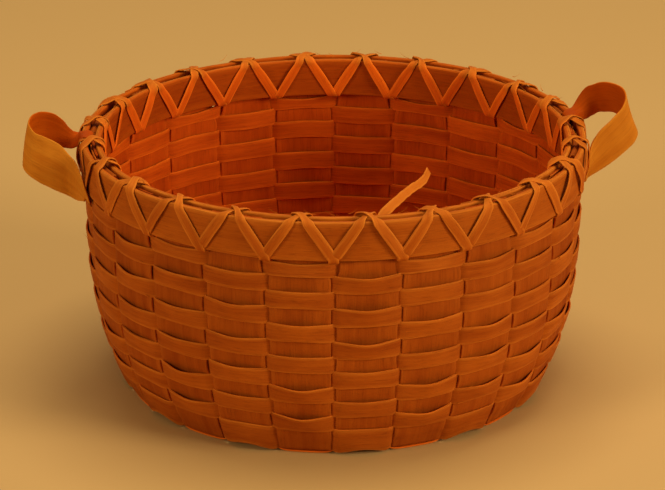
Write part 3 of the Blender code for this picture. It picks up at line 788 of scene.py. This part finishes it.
def make_hoop(plan, name, inner_radius, first, seed):
    """A shaved hoop: a thick strip whose tapered ends lie on each other over two uprights.

    In the lap at its start the strip is a wedge that grows from the inside, and in the lap at its
    end the wedge that is left outside it.
    """
    size = plan.size
    random = np.random.default_rng(seed)
    half_width = size.hoop_width / 2
    across, fullness = stations(half_width, 0.55 * MM, 7)
    count = 10 * (size.uprights + LAP_UPRIGHTS)
    spare = 0.08
    place = np.linspace(first + spare, first + size.uprights + LAP_UPRIGHTS - spare, count)[:, None]
    turns = place / size.uprights
    full = size.hoop_thickness * 0.98
    tip = 0.4 * MM
    span = LAP_UPRIGHTS - spare
    start_share = np.clip((place - first - spare) / span, 0, 1)
    end_share = np.clip((place - first - size.uprights) / span, 0, 1)
    wedge_start = tip + (full - size.seat_gap - 2 * tip) * start_share
    wedge_end = tip + (full - size.seat_gap - 2 * tip) * end_share
    growing = place - first < LAP_UPRIGHTS
    ending = place - first > size.uprights
    depth = np.where(growing, wedge_start, np.where(ending, full - size.seat_gap - wedge_end, full))
    radius = np.where(growing, inner_radius + wedge_start / 2,
                      np.where(ending, inner_radius + full - depth / 2, inner_radius + full / 2))
    height = plan.hoop_middle + drift(turns, random, 0.10 * MM) + across[None, :] * half_width * (
        1 + drift(turns, random, 0.008))
    bow = drift(turns, random, 0.05 * MM, (3, 5, 7, 11))
    middle = polar(radius + bow, plan.angle(place), height)
    tone = random.uniform(-0.05, 0.05) + drift(turns, random, 0.08)
    piece = strip(name + "_splint", middle, depth / 2 * fullness[None, :], across, half_width,
                  tone, 0.5, random.uniform(0, 3))
    dress(piece, "hoop", name)


def rim_section(plan, corner):
    """The outline of the rim's section, closed, with round corners, by length along it.

    It starts at the outer lower corner and runs up the outside, over the top, down the inside and
    back under. Gives the lengths, the points (radius, height) and the outward normals, and the
    length at which it comes back under.
    """
    size = plan.size
    left, right = plan.inner_hoop + corner, size.rim_radius - corner
    low, high = plan.hoop_bottom + corner, size.rim_height - corner
    pieces = []
    for x, z, start in ((right, high, 0.0), (left, high, 0.5), (left, low, 1.0), (right, low, 1.5)):
        turn = math.pi * (start + np.linspace(0.0, 0.5, 9))
        pieces.append((x + corner * np.cos(turn), z + corner * np.sin(turn), turn))
    x, z, turn = (np.concatenate(part) for part in zip(*pieces))
    x = np.concatenate((x[-1:], x))
    z = np.concatenate((z[-1:], z))
    turn = np.concatenate((turn[-1:] - 2 * math.pi, turn))
    lengths = np.concatenate(([0.0], np.cumsum(np.hypot(np.diff(x), np.diff(z)))))
    under = lengths[1 + 9 * 3 - 1]
    return lengths, x, z, turn, under


def make_lashing(plan, name, over, direction, seed):
    """One pass of the crossed lashing, unrolled on the rim's section.

    Along the strip the length round the section grows evenly, and the angle grows by one upright
    over the outside, top and inside, and rests in the hole. Across it the strip lies square to
    that path. It stands off the rim by its layer and by a hump where it crosses the other pass,
    and on each wrap by a slack of its own outside and inside, an arch over the top, a slight dome
    across and a tilt to one edge. Near the crossing on the top it is bunched narrower and painted
    paler as a highlight. Its colour is painted paler over the top, as rubbing and a highlight,
    darker towards the bottom and in the hole as shade, and redder inside as bounced light.
    """
    size = plan.size
    random = np.random.default_rng(seed)
    corner = 0.8 * MM
    lengths, x, z, turn, under = rim_section(plan, corner)
    whole = lengths[-1]
    steps = 72
    wraps = size.uprights
    share = (np.arange(steps * wraps) / steps)[:, None]
    wrap = np.floor(share).astype(int) % wraps
    round_share = share - np.floor(share)
    climbed = np.clip(round_share * whole / under, 0, 1)
    climbed = climbed - 0.012 * np.sin(2 * math.pi * climbed)
    place = (np.floor(share) + climbed) * direction
    position = round_share * whole
    slant = math.atan2(plan.pitch * size.rim_radius, under)
    lean = slant * ease(np.minimum(climbed, 1 - climbed) * 9 + 0.25)
    across, fullness = stations(size.lashing_width / 2, 0.16 * MM, 5)
    cross_top = bump((climbed - 0.5) * under, 3.6 * MM)
    half_width = size.lashing_width / 2 * (1 + drift(share / wraps, random, 0.05, (7, 11, 17, 23)))
    bunched = bump((climbed - 0.5) * under, 8.0 * MM)
    half_width = half_width * (1 - random.uniform(0.22, 0.46, wraps)[wrap] * bunched)
    reach = across[None, :] * half_width
    position = position - reach * np.sin(lean)
    angle = plan.angle(place) + direction * reach * np.cos(lean) / size.rim_radius

    wrapped = np.mod(position, whole)
    radius = np.interp(wrapped, lengths, x)
    height = np.interp(wrapped, lengths, z)
    facing = np.interp(wrapped, lengths, turn)
    thick = size.lashing_thickness
    top_half = (size.rim_radius - plan.inner_hoop) / 2 + 1.5 * MM
    gone_round = round_share * whole
    in_hole = ease((gone_round - under + 1.5 * MM) / (1.5 * MM)) + bump(gone_round, 1.6 * MM)
    stand = thick * 0.55
    if over:
        stand = stand + thick * 1.08 * np.maximum(cross_top, np.clip(in_hole, 0, 1))
    ends = np.abs(np.sin(plan.angle(place))) ** 6
    beside = sum(bump(place - spot, 0.9) for spot in HANDLE_FRONTS)
    slack = random.uniform(0.05, 0.6, wraps)[wrap] + random.uniform(0.2, 1.1, wraps)[wrap] * ends
    slack = slack * (1 - 0.85 * beside) * MM
    outside = climbed * under / (size.hoop_width + corner)
    stand = stand + slack * np.sin(math.pi * np.clip(outside, 0, 1)) ** 2
    inner_slack = random.uniform(0.05, 0.45, wraps)[wrap] * MM
    inside = (1 - climbed) * under / (size.hoop_width + corner)
    stand = stand + inner_slack * np.sin(math.pi * np.clip(inside, 0, 1)) ** 2
    arch = (random.uniform(0.15, 0.8, wraps)[wrap] + 1.1 * ends) * MM
    over_top = np.clip((climbed - 0.5) * under / (2 * top_half) + 0.5, 0, 1)
    stand = stand + arch * np.sin(math.pi * over_top) ** 2
    free = 1 - np.clip(in_hole, 0, 1)
    tilt = random.uniform(0.10, 0.34, wraps) * random.choice([-1, 1], wraps, p=[0.3, 0.7])
    stand = stand + 0.16 * MM * (1 - across[None, :] ** 2) * free
    stand = stand + np.abs(tilt[wrap]) * (1 + np.sign(tilt[wrap]) * across[None, :]) * MM * free
    radius = radius + stand * np.cos(facing)
    height = height + stand * np.sin(facing)
    middle = polar(radius, angle, height)
    if direction < 0:
        middle = middle[:, ::-1]
    tone = random.uniform(-0.12, 0.16, wraps)[wrap] * np.sin(math.pi * climbed) ** 2
    # Painted highlight: paler near the crossing on the rim's top
    tone = tone + 0.3 * bunched
    # Its wear_and_shade, sin squared of the climb, makes it paler over the rim's top, as rubbing
    # and a painted highlight, and darker towards the bottom on both sides and in the hole, as
    # painted shade; the part on the inside is flagged for the painted redder inner tint
    piece = strip(name + "_splint", middle, thick / 2 * 0.9 * fullness[None, :], across,
                  size.lashing_width / 2, tone, np.sin(math.pi * climbed) ** 2, 0.0, closed=True,
                  inner=ease((climbed - 0.55) * 8) * free)
    dress(piece, "lashing", name)


def curve_through(points, steps):
    """A smooth curve through the points: cubic pieces whose slope at a point is that of the line
    between its neighbours, by the distance between them."""
    points = np.asarray(points, dtype=float)
    chords = np.linalg.norm(np.diff(points[:, :3], axis=0), axis=1)
    times = np.concatenate(([0.0], np.cumsum(chords)))
    slopes = np.gradient(points, times, axis=0)
    wanted = np.linspace(0, times[-1], steps)
    piece = np.clip(np.searchsorted(times, wanted, side="right") - 1, 0, len(chords) - 1)
    span = chords[piece][:, None]
    t = ((wanted - times[piece]) / chords[piece])[:, None]
    start, end = points[piece], points[piece + 1]
    return ((2 * t ** 3 - 3 * t ** 2 + 1) * start + (t ** 3 - 2 * t ** 2 + t) * span * slopes[piece]
            + (3 * t ** 2 - 2 * t ** 3) * end + (t ** 3 - t ** 2) * span * slopes[piece + 1])


def make_handle(plan, name, upright, forward, loop_shares, seed):
    """An ear: up behind the outer hoop, out over the lashing, round to the front and back under
    the hoop. Its middle line, lean, width and thickness are curves through the loop's places, and
    its section is cupped by the square of the place across it. forward is 1 for the right handle,
    whose front lies towards smaller angles, and -1 for the left one."""
    size = plan.size
    random = np.random.default_rng(seed)
    middle_angle = plan.angle(upright + 0.5)
    outwards = polar(1.0, middle_angle, 0.0)
    to_front = polar(1.0, middle_angle - forward * math.pi / 2, 0.0)
    up = np.array([0.0, 0.0, 1.0])
    seat = size.seat_gap + HANDLE_TAIL_THICKNESS / 2
    tail_radius = (size.rim_radius - size.hoop_thickness) * math.cos(math.radians(3.05)) - seat
    tail_half = HANDLE_TAIL_WIDTH / 2 / tail_radius
    clear = math.radians(1.41)
    back_angle = middle_angle + forward * (2 * clear + tail_half)
    front_angle = middle_angle - forward * (plan.pitch / 2 - clear - tail_half)

    def tail(radius, angle, height, facing):
        """A place on a tail, whose strip lies along the hoop."""
        lean = polar(1.0, angle + facing * math.pi / 2, 0.0)
        return [*polar(radius, angle, height), *lean, HANDLE_TAIL_WIDTH / 2,
                HANDLE_TAIL_THICKNESS / 2]

    rise = 2 * (size.lashing_thickness + size.seat_gap) + 2 * size.seat_gap
    places = [tail(tail_radius, back_angle, size.rim_height - HANDLE_TAIL_LENGTH, forward),
              tail(tail_radius, back_angle, size.rim_height + 0.4 * rise, forward)]
    for place, lean, share in loop_shares:
        centre = outwards * (size.rim_radius + place[0] * size.handle_reach)
        centre = centre + to_front * (place[1] * size.handle_spread)
        centre = centre + up * (plan.hoop_middle + place[2] * size.hoop_width)
        lean = unit(outwards * lean[0] + to_front * lean[1] + up * lean[2])
        grown = min(1.0, max(0.0, 2 * share - 1))
        thickness = HANDLE_TAIL_THICKNESS + (size.handle_thickness - HANDLE_TAIL_THICKNESS) * grown
        places.append([*centre, *lean, size.handle_width * share / 2, thickness / 2])
    wall_seat = size.shoulder_radius + size.stake_thickness / 2 + 2 * seat
    dip = plan.hoop_bottom - HANDLE_DIPS[forward]
    for radius, height, share in ((size.rim_radius - seat, dip, 1.0),
                                  (wall_seat, dip + 2 * seat, 0.6), (wall_seat, plan.wall_top, 0.2),
                                  (tail_radius, plan.hoop_bottom, 0.0),
                                  (tail_radius, plan.hoop_bottom + HANDLE_TAIL_LENGTH, 0.0)):
        angle = front_angle - forward * HANDLE_RUN_ONS[forward] * share
        places.append(tail(radius, angle, height, -forward))
    curve = curve_through(places, 260)
    across, fullness = stations(size.handle_width / 2, 0.3 * MM, 9)
    lean = unit(curve[:, 3:6])
    half_width = curve[:, 6] * (1 + drift(np.linspace(0, 1, len(curve)), random, 0.012))
    cup = 0.35 * MM * (curve[:, 6] / size.handle_width * 2) ** 2
    line = curve[:, :3]
    tangent = unit(np.gradient(line, axis=0))
    normal = unit(np.cross(tangent, lean))
    middle = line[:, None] + lean[:, None] * (half_width[:, None] * across[None, :])[..., None]
    middle = middle - normal[:, None] * (cup[:, None] * (across[None, :] ** 2 - 0.4))[..., None]
    half = curve[:, 7][:, None] * fullness[None, :]
    gone = np.linspace(0, 1, len(curve))[:, None]
    # Painted shade: darker over the first three tenths of the strip, most at a tenth, where the
    # back limb rises from behind the hoop and faces the lamps
    tone = drift(gone, random, 0.05) - 0.7 * bump(gone - 0.10, 0.2)
    # The loop's inside face is flagged for the painted darker, redder inner tint
    inner = np.repeat([1.0, 0.0] if forward > 0 else [0.0, 1.0], len(across))[None, :]
    piece = strip(name + "_splint", middle, half, across, size.handle_width / 2, tone, 0.6,
                  random.uniform(0, 3), inner=inner)
    dress(piece, "handle", name)


def make_loose_end():
    """The last end of the lashing, tucked inside the near rim and bent up over the basket. Its
    middle line and lean are curves through its places, and it narrows to its end."""
    random = np.random.default_rng(71)
    places = [[*(part * MM for part in place), *lean] for place, lean in LOOSE_END]
    curve = curve_through(places, 120)
    half_width = 1.8 * MM
    across, fullness = stations(half_width, 0.16 * MM, 3)
    lean = unit(curve[:, 3:6])
    share = np.linspace(0, 1, len(curve))
    width = half_width * (1 - 0.35 * share) * (1 + drift(share, random, 0.05))
    line = curve[:, :3] + drift(share, random, 0.25 * MM)[:, None] * np.array([0.6, 0.2, 1.0])
    middle = line[:, None] + lean[:, None] * (width[:, None] * across[None, :])[..., None]
    half = 0.18 * MM * fullness[None, :] * (1 - 0.4 * share[:, None])
    # Painted highlight: tone 0.9 and full wear_and_shade make the whole end paler, standing in for
    # the light that falls on it
    piece = strip("loose_lashing_end", middle, half, across, half_width, 0.9, 1.0, 0.4,
                  inner=np.zeros(1))
    dress(piece, "lashing")


def make_fibres(plan):
    """Hair-thin slivers that have come loose from the edges of the lashing and the rows. Each
    leaves
    along its edge and curls away from it: the root plus the edge's direction times the length gone,
    plus outwards times its square."""
    size = plan.size
    random = np.random.default_rng(81)
    points, quads, maps, values, used = [], [], [], [], 0
    across = np.array([-1.0, 0.0, 1.0])
    for _ in range(LOOSE_FIBRES):
        place = random.uniform(0, size.uprights)
        angle = plan.angle(place)
        outwards, along = polar(1.0, angle, 0.0), polar(1.0, angle + math.pi / 2, 0.0)
        up = np.array([0.0, 0.0, 1.0])
        if random.random() < 0.6:
            side = random.random()
            radius = plan.inner_hoop * side + size.rim_radius * (1 - side)
            root = polar(radius, angle, size.rim_height + random.uniform(0.3, 1.1) * MM)
            away = up * random.uniform(0.5, 1.0) + outwards * (0.8 - 1.6 * side)
        else:
            row = random.integers(1, size.wall_rows)
            height = plan.hoop_bottom + 0.2 * MM - row * size.row_pitch
            root = plan.wall_place(place, height, plan.weave + 0.5 * MM)
            away = outwards * random.uniform(0.5, 1.0) + up * random.uniform(-0.3, 0.7)
        reach = random.uniform(1.6, 4.2) * MM
        turn = random.choice([-1, 1])
        gone = np.linspace(0, 1, 9)[:, None]
        line = root + along * turn * reach * gone + away * reach * 0.55 * gone ** 2
        width = random.uniform(0.07, 0.13) * MM * (1 - 0.75 * gone)
        middle = line[:, None] + unit(outwards * 0.4 + up)[None, None] * (width * across)[..., None]
        ring, faces, grain, _ = skin(middle, width * 0.5, across, 0.1 * MM, random.uniform(0, 3))
        points.append(ring.reshape(-1, 3))
        quads.append(faces + used)
        maps.append(grain)
        values.append(np.full(len(points[-1]), random.uniform(0.1, 0.5)))
        used += len(points[-1])
    tone = np.concatenate(values)
    layers = {"tone": tone, "wear_and_shade": tone, "edge": tone, "inner": tone * 0}
    piece = make_object("loose_fibres", np.concatenate(points), np.concatenate(quads),
                        np.concatenate(maps), layers)
    dress(piece, "lashing")


def make_stage(size, colours):
    """A plain pale floor, a soft lamp overhead, one at the front on each side and the camera."""
    bpy.ops.mesh.primitive_grid_add(x_subdivisions=1, y_subdivisions=1, size=6.0)
    floor = bpy.context.object
    floor.name = "floor"
    surface = bpy.data.materials.new("pale_floor")
    surface.use_nodes = True
    shader = surface.node_tree.nodes["Principled BSDF"]
    shader.inputs["Base Color"].default_value = (*colours.floor, 1.0)
    shader.inputs["Roughness"].default_value = 0.7
    shader.inputs["Specular IOR Level"].default_value = 0.25
    floor.data.materials.append(surface)

    world = bpy.data.worlds.new("soft_room")
    bpy.context.scene.world = world
    world.use_nodes = True
    background = world.node_tree.nodes["Background"]
    background.inputs["Color"].default_value = (*colours.sky, 1.0)
    background.inputs["Strength"].default_value = 0.28
    for name, place, width, power, tint in (
        ("overhead_lamp", (0.08, 0.10, 1.05), 0.6, 6.9, (1.0, 0.96, 0.90)),
        ("right_lamp", (1.66, -0.88, 0.75), 0.7, 27.0, (1.0, 0.96, 0.90)),
        ("left_lamp", (-2.20, -1.55, 0.85), 0.9, 27.0, (1.0, 0.96, 0.90)),
    ):
        light = bpy.data.lights.new(name, "AREA")
        light.size = width
        light.energy = power
        light.color = tint
        lamp = bpy.data.objects.new(name, light)
        bpy.context.scene.collection.objects.link(lamp)
        lamp.location = place
        aim = np.array([0.0, 0.0, size.rim_height / 2]) - np.array(place)
        lamp.rotation_euler = (math.atan2(math.hypot(aim[0], aim[1]), -aim[2]), 0.0,
                               math.atan2(aim[0], -aim[1]) + math.pi)

    lens = bpy.data.cameras.new("camera")
    lens.sensor_width = 36.0
    lens.lens = 199.2
    camera = bpy.data.objects.new("camera", lens)
    camera.location = (-0.00033, -1.1274, 0.4828)
    camera.rotation_euler = (math.radians(90 - 21.251), 0.0, 0.0)
    bpy.context.scene.collection.objects.link(camera)
    bpy.context.scene.camera = camera
    bpy.context.scene.view_settings.view_transform = "Standard"


class BASKET_OT_stage(bpy.types.Operator):
    """Lay the floor and set the lamps, the world and the camera"""

    bl_idname = "basket.stage"
    bl_label = "Stage"

    def execute(self, context):
        make_stage(context.scene.basket_sizes, context.scene.basket_colours)
        return {"FINISHED"}


class BASKET_OT_stakes(bpy.types.Operator):
    """Lay the stakes across the base and turn them up as the wall's uprights"""

    bl_idname = "basket.stakes"
    bl_label = "Stakes"

    def execute(self, context):
        plan = Plan(context.scene.basket_sizes)
        for upright in range(plan.size.uprights // 2):
            make_stake(plan, upright)
        return {"FINISHED"}


class BASKET_OT_base_weavers(bpy.types.Operator):
    """Weave the flat base"""

    bl_idname = "basket.base_weavers"
    bl_label = "Base weavers"

    def execute(self, context):
        plan = Plan(context.scene.basket_sizes)
        for row in range(plan.size.base_rows):
            make_base_weaver(plan, row)
        return {"FINISHED"}


class BASKET_OT_wall_weavers(bpy.types.Operator):
    """Weave the wall, row by row from the top"""

    bl_idname = "basket.wall_weavers"
    bl_label = "Wall weavers"

    def execute(self, context):
        plan = Plan(context.scene.basket_sizes)
        for row in range(plan.size.wall_rows):
            make_wall_weaver(plan, row)
        return {"FINISHED"}


class BASKET_OT_rim(bpy.types.Operator):
    """Set the rim weaver and the two hoops"""

    bl_idname = "basket.rim"
    bl_label = "Rim"

    def execute(self, context):
        plan = Plan(context.scene.basket_sizes)
        make_rim_weaver(plan)
        outer = plan.size.rim_radius - plan.size.hoop_thickness
        make_hoop(plan, "outer_hoop", outer, OUTER_HOOP_LAP_UPRIGHT, 41)
        make_hoop(plan, "inner_hoop", plan.inner_hoop, INNER_HOOP_LAP_UPRIGHT, 42)
        return {"FINISHED"}


class BASKET_OT_lashing(bpy.types.Operator):
    """Lash the rim both ways"""

    bl_idname = "basket.lashing"
    bl_label = "Lashing"

    def execute(self, context):
        plan = Plan(context.scene.basket_sizes)
        make_lashing(plan, "lashing_first_pass", False, 1, 51)
        make_lashing(plan, "lashing_return_pass", True, -1, 52)
        return {"FINISHED"}


class BASKET_OT_handles(bpy.types.Operator):
    """Bend the two ears"""

    bl_idname = "basket.handles"
    bl_label = "Handles"

    def execute(self, context):
        plan = Plan(context.scene.basket_sizes)
        make_handle(plan, "right_handle", RIGHT_HANDLE_UPRIGHT, 1, RIGHT_LOOP_SHARES, 61)
        make_handle(plan, "left_handle", LEFT_HANDLE_UPRIGHT, -1, LEFT_LOOP_SHARES, 62)
        return {"FINISHED"}


class BASKET_OT_loose_ends(bpy.types.Operator):
    """Leave the lashing's last end and a few loose fibres"""

    bl_idname = "basket.loose_ends"
    bl_label = "Loose ends"

    def execute(self, context):
        make_loose_end()
        make_fibres(Plan(context.scene.basket_sizes))
        return {"FINISHED"}


class BASKET_PT_panel(bpy.types.Panel):
    """The steps in the order in which the basket is made"""

    bl_idname = "BASKET_PT_panel"
    bl_label = "Basket"
    bl_space_type = "VIEW_3D"
    bl_region_type = "UI"
    bl_category = "Basket"

    def draw(self, context):
        column = self.layout.column(align=True)
        for step in STEPS:
            column.operator(step.bl_idname)
        for group in (context.scene.basket_sizes, context.scene.basket_colours):
            box = self.layout.box()
            for key in group.bl_rna.properties.keys():
                if key not in ("rna_type", "name"):
                    box.prop(group, key)


STEPS = (BASKET_OT_stage, BASKET_OT_stakes, BASKET_OT_base_weavers, BASKET_OT_wall_weavers,
         BASKET_OT_rim, BASKET_OT_lashing, BASKET_OT_handles, BASKET_OT_loose_ends)
CLASSES = (BasketSizes, BasketColours, *STEPS, BASKET_PT_panel)


def register():
    for one in CLASSES:
        bpy.utils.register_class(one)
    bpy.types.Scene.basket_sizes = PointerProperty(type=BasketSizes)
    bpy.types.Scene.basket_colours = PointerProperty(type=BasketColours)


def unregister():
    del bpy.types.Scene.basket_colours
    del bpy.types.Scene.basket_sizes
    for one in reversed(CLASSES):
        bpy.utils.unregister_class(one)


def main():
    register()
    bpy.ops.basket.stage()
    bpy.ops.basket.stakes()
    bpy.ops.basket.base_weavers()
    bpy.ops.basket.wall_weavers()
    bpy.ops.basket.rim()
    bpy.ops.basket.lashing()
    bpy.ops.basket.handles()
    bpy.ops.basket.loose_ends()


if __name__ == "__main__":
    main()
